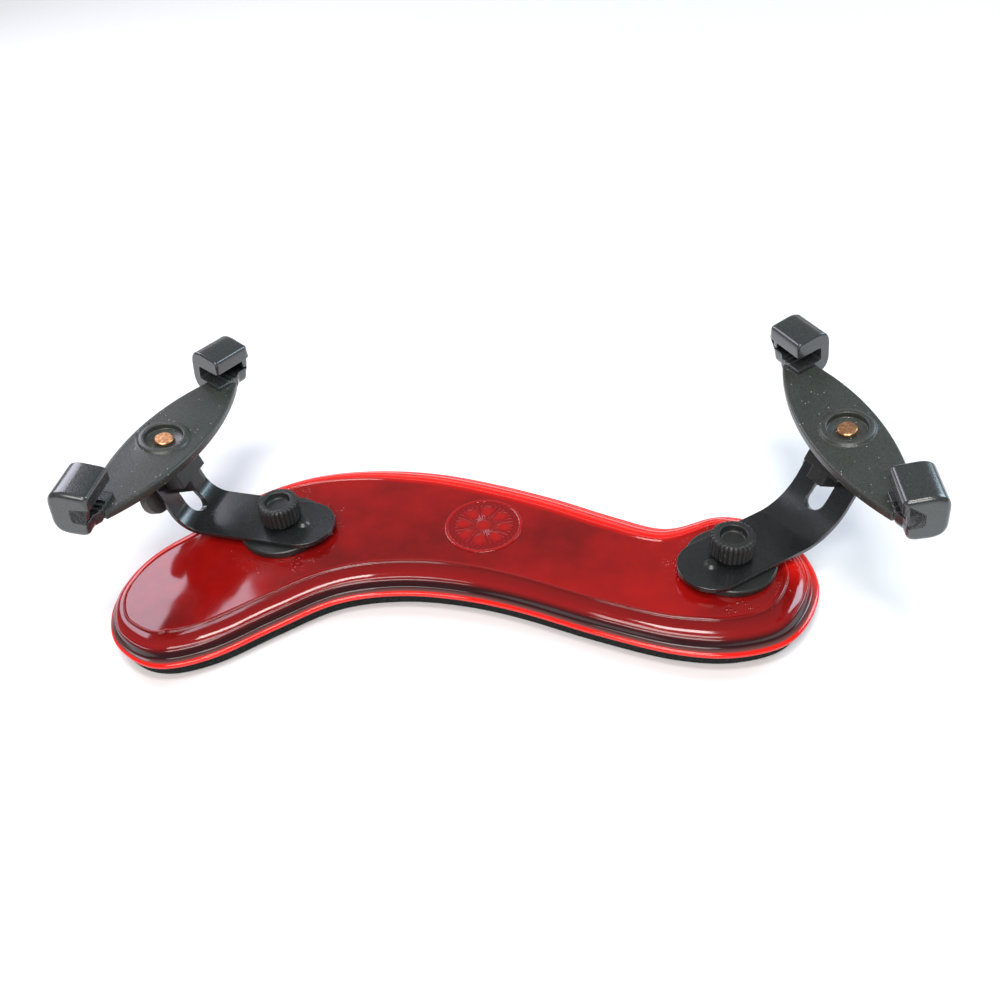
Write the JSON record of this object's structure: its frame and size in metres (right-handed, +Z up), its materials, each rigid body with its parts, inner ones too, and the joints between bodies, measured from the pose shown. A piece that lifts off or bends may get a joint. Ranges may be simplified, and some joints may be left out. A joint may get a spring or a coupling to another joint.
{
  "type": "violin shoulder rest",
  "caption": "Curved padded plate with swivelling slotted metal legs, each with a height clamp and a turning lens-shaped fork with rubber hooked feet that grip the edge of a violin's back.",
  "frame": {"origin": "midway between the two thumb screws, on the underside of the foam pad", "axes": "+X to the right along the plate, +Y to the back (the convex side of the bend), +Z up, out of the plate towards the forks"},
  "size_m": [0.2367, 0.1227, 0.0577],
  "materials": {
    "red_plastic": "deep translucent red, moulded, glossy",
    "foam": "black closed-cell foam",
    "black_steel": "gloss black lacquer",
    "knob_plastic": "moulded, fine texture",
    "grey_plastic": "fibre-filled, fine speckle",
    "boot_rubber": "semi-gloss",
    "brass": "turned"
  },
  "bodies": {
    "base": {"base_plate": "red_plastic", "badge": "red_plastic", "foam_pad": "foam", "left_insert": "brass", "right_insert": "brass"},
    "left_leg": {"left_disc": "black_steel", "left_strip": "black_steel", "left_rivet": "black_steel"},
    "left_thumb": {"left_thumb_screw": "knob_plastic", "left_screw_washer": "black_steel"},
    "left_slider": {"left_carriage": "grey_plastic", "left_pivot_pin": "brass"},
    "left_head": {"left_fork": "grey_plastic", "left_near_foot": "boot_rubber", "left_far_foot": "boot_rubber"},
    "left_knob": {"left_clamp_knob": "knob_plastic", "left_clamp_stud": "brass", "left_clamp_washer": "black_steel"},
    "right_leg": {"right_disc": "black_steel", "right_strip": "black_steel", "right_rivet": "black_steel"},
    "right_thumb": {"right_thumb_screw": "knob_plastic", "right_screw_washer": "black_steel"},
    "right_slider": {"right_carriage": "grey_plastic", "right_pivot_pin": "brass"},
    "right_head": {"right_fork": "grey_plastic", "right_near_foot": "boot_rubber", "right_far_foot": "boot_rubber"},
    "right_knob": {"right_clamp_knob": "knob_plastic", "right_clamp_stud": "brass", "right_clamp_washer": "black_steel"}
  },
  "joints": [
    {"name": "left_leg_swivel", "type": "hinge", "parent": "base", "child": "left_leg", "pos_m": [-0.0694, 0, 0.0127], "axis": [0, 0, 1], "range_deg": [-25, 25]},
    {"name": "left_thumb_turn", "type": "hinge", "parent": "base", "child": "left_thumb", "pos_m": [-0.0694, 0, 0.0155], "axis": [0, 0, 1], "continuous": true},
    {"name": "left_height", "type": "slide", "parent": "left_leg", "child": "left_slider", "axis": [-0.2747, 0.0226, 0.9613], "range_m": [0, 0.0045]},
    {"name": "left_fork_turn", "type": "hinge", "parent": "left_slider", "child": "left_head", "pos_m": [-0.10249, 0.00272, 0.0426], "axis": [0.1559, -0.0128, 0.9877], "range_deg": [-25, 25]},
    {"name": "left_knob_turn", "type": "hinge", "parent": "left_slider", "child": "left_knob", "pos_m": [-0.10323, 0.00278, 0.02971], "axis": [0.958, -0.0788, 0.2756], "range_deg": [-50, 5]},
    {"name": "right_leg_swivel", "type": "hinge", "parent": "base", "child": "right_leg", "pos_m": [0.0694, 0, 0.0127], "axis": [0, 0, 1], "range_deg": [-25, 25]},
    {"name": "right_thumb_turn", "type": "hinge", "parent": "base", "child": "right_thumb", "pos_m": [0.0694, 0, 0.0155], "axis": [0, 0, 1], "continuous": true},
    {"name": "right_height", "type": "slide", "parent": "right_leg", "child": "right_slider", "axis": [0.3586, 0.303, 0.8829], "range_m": [0, 0.0045]},
    {"name": "right_fork_turn", "type": "hinge", "parent": "right_slider", "child": "right_head", "pos_m": [0.09904, 0.02504, 0.0437], "axis": [-0.1326, -0.1121, 0.9848], "range_deg": [-25, 25]},
    {"name": "right_knob_turn", "type": "hinge", "parent": "right_slider", "child": "right_knob", "pos_m": [0.09829, 0.02441, 0.03162], "axis": [-0.6744, -0.5699, 0.4695], "range_deg": [-50, 5]}
  ]
}
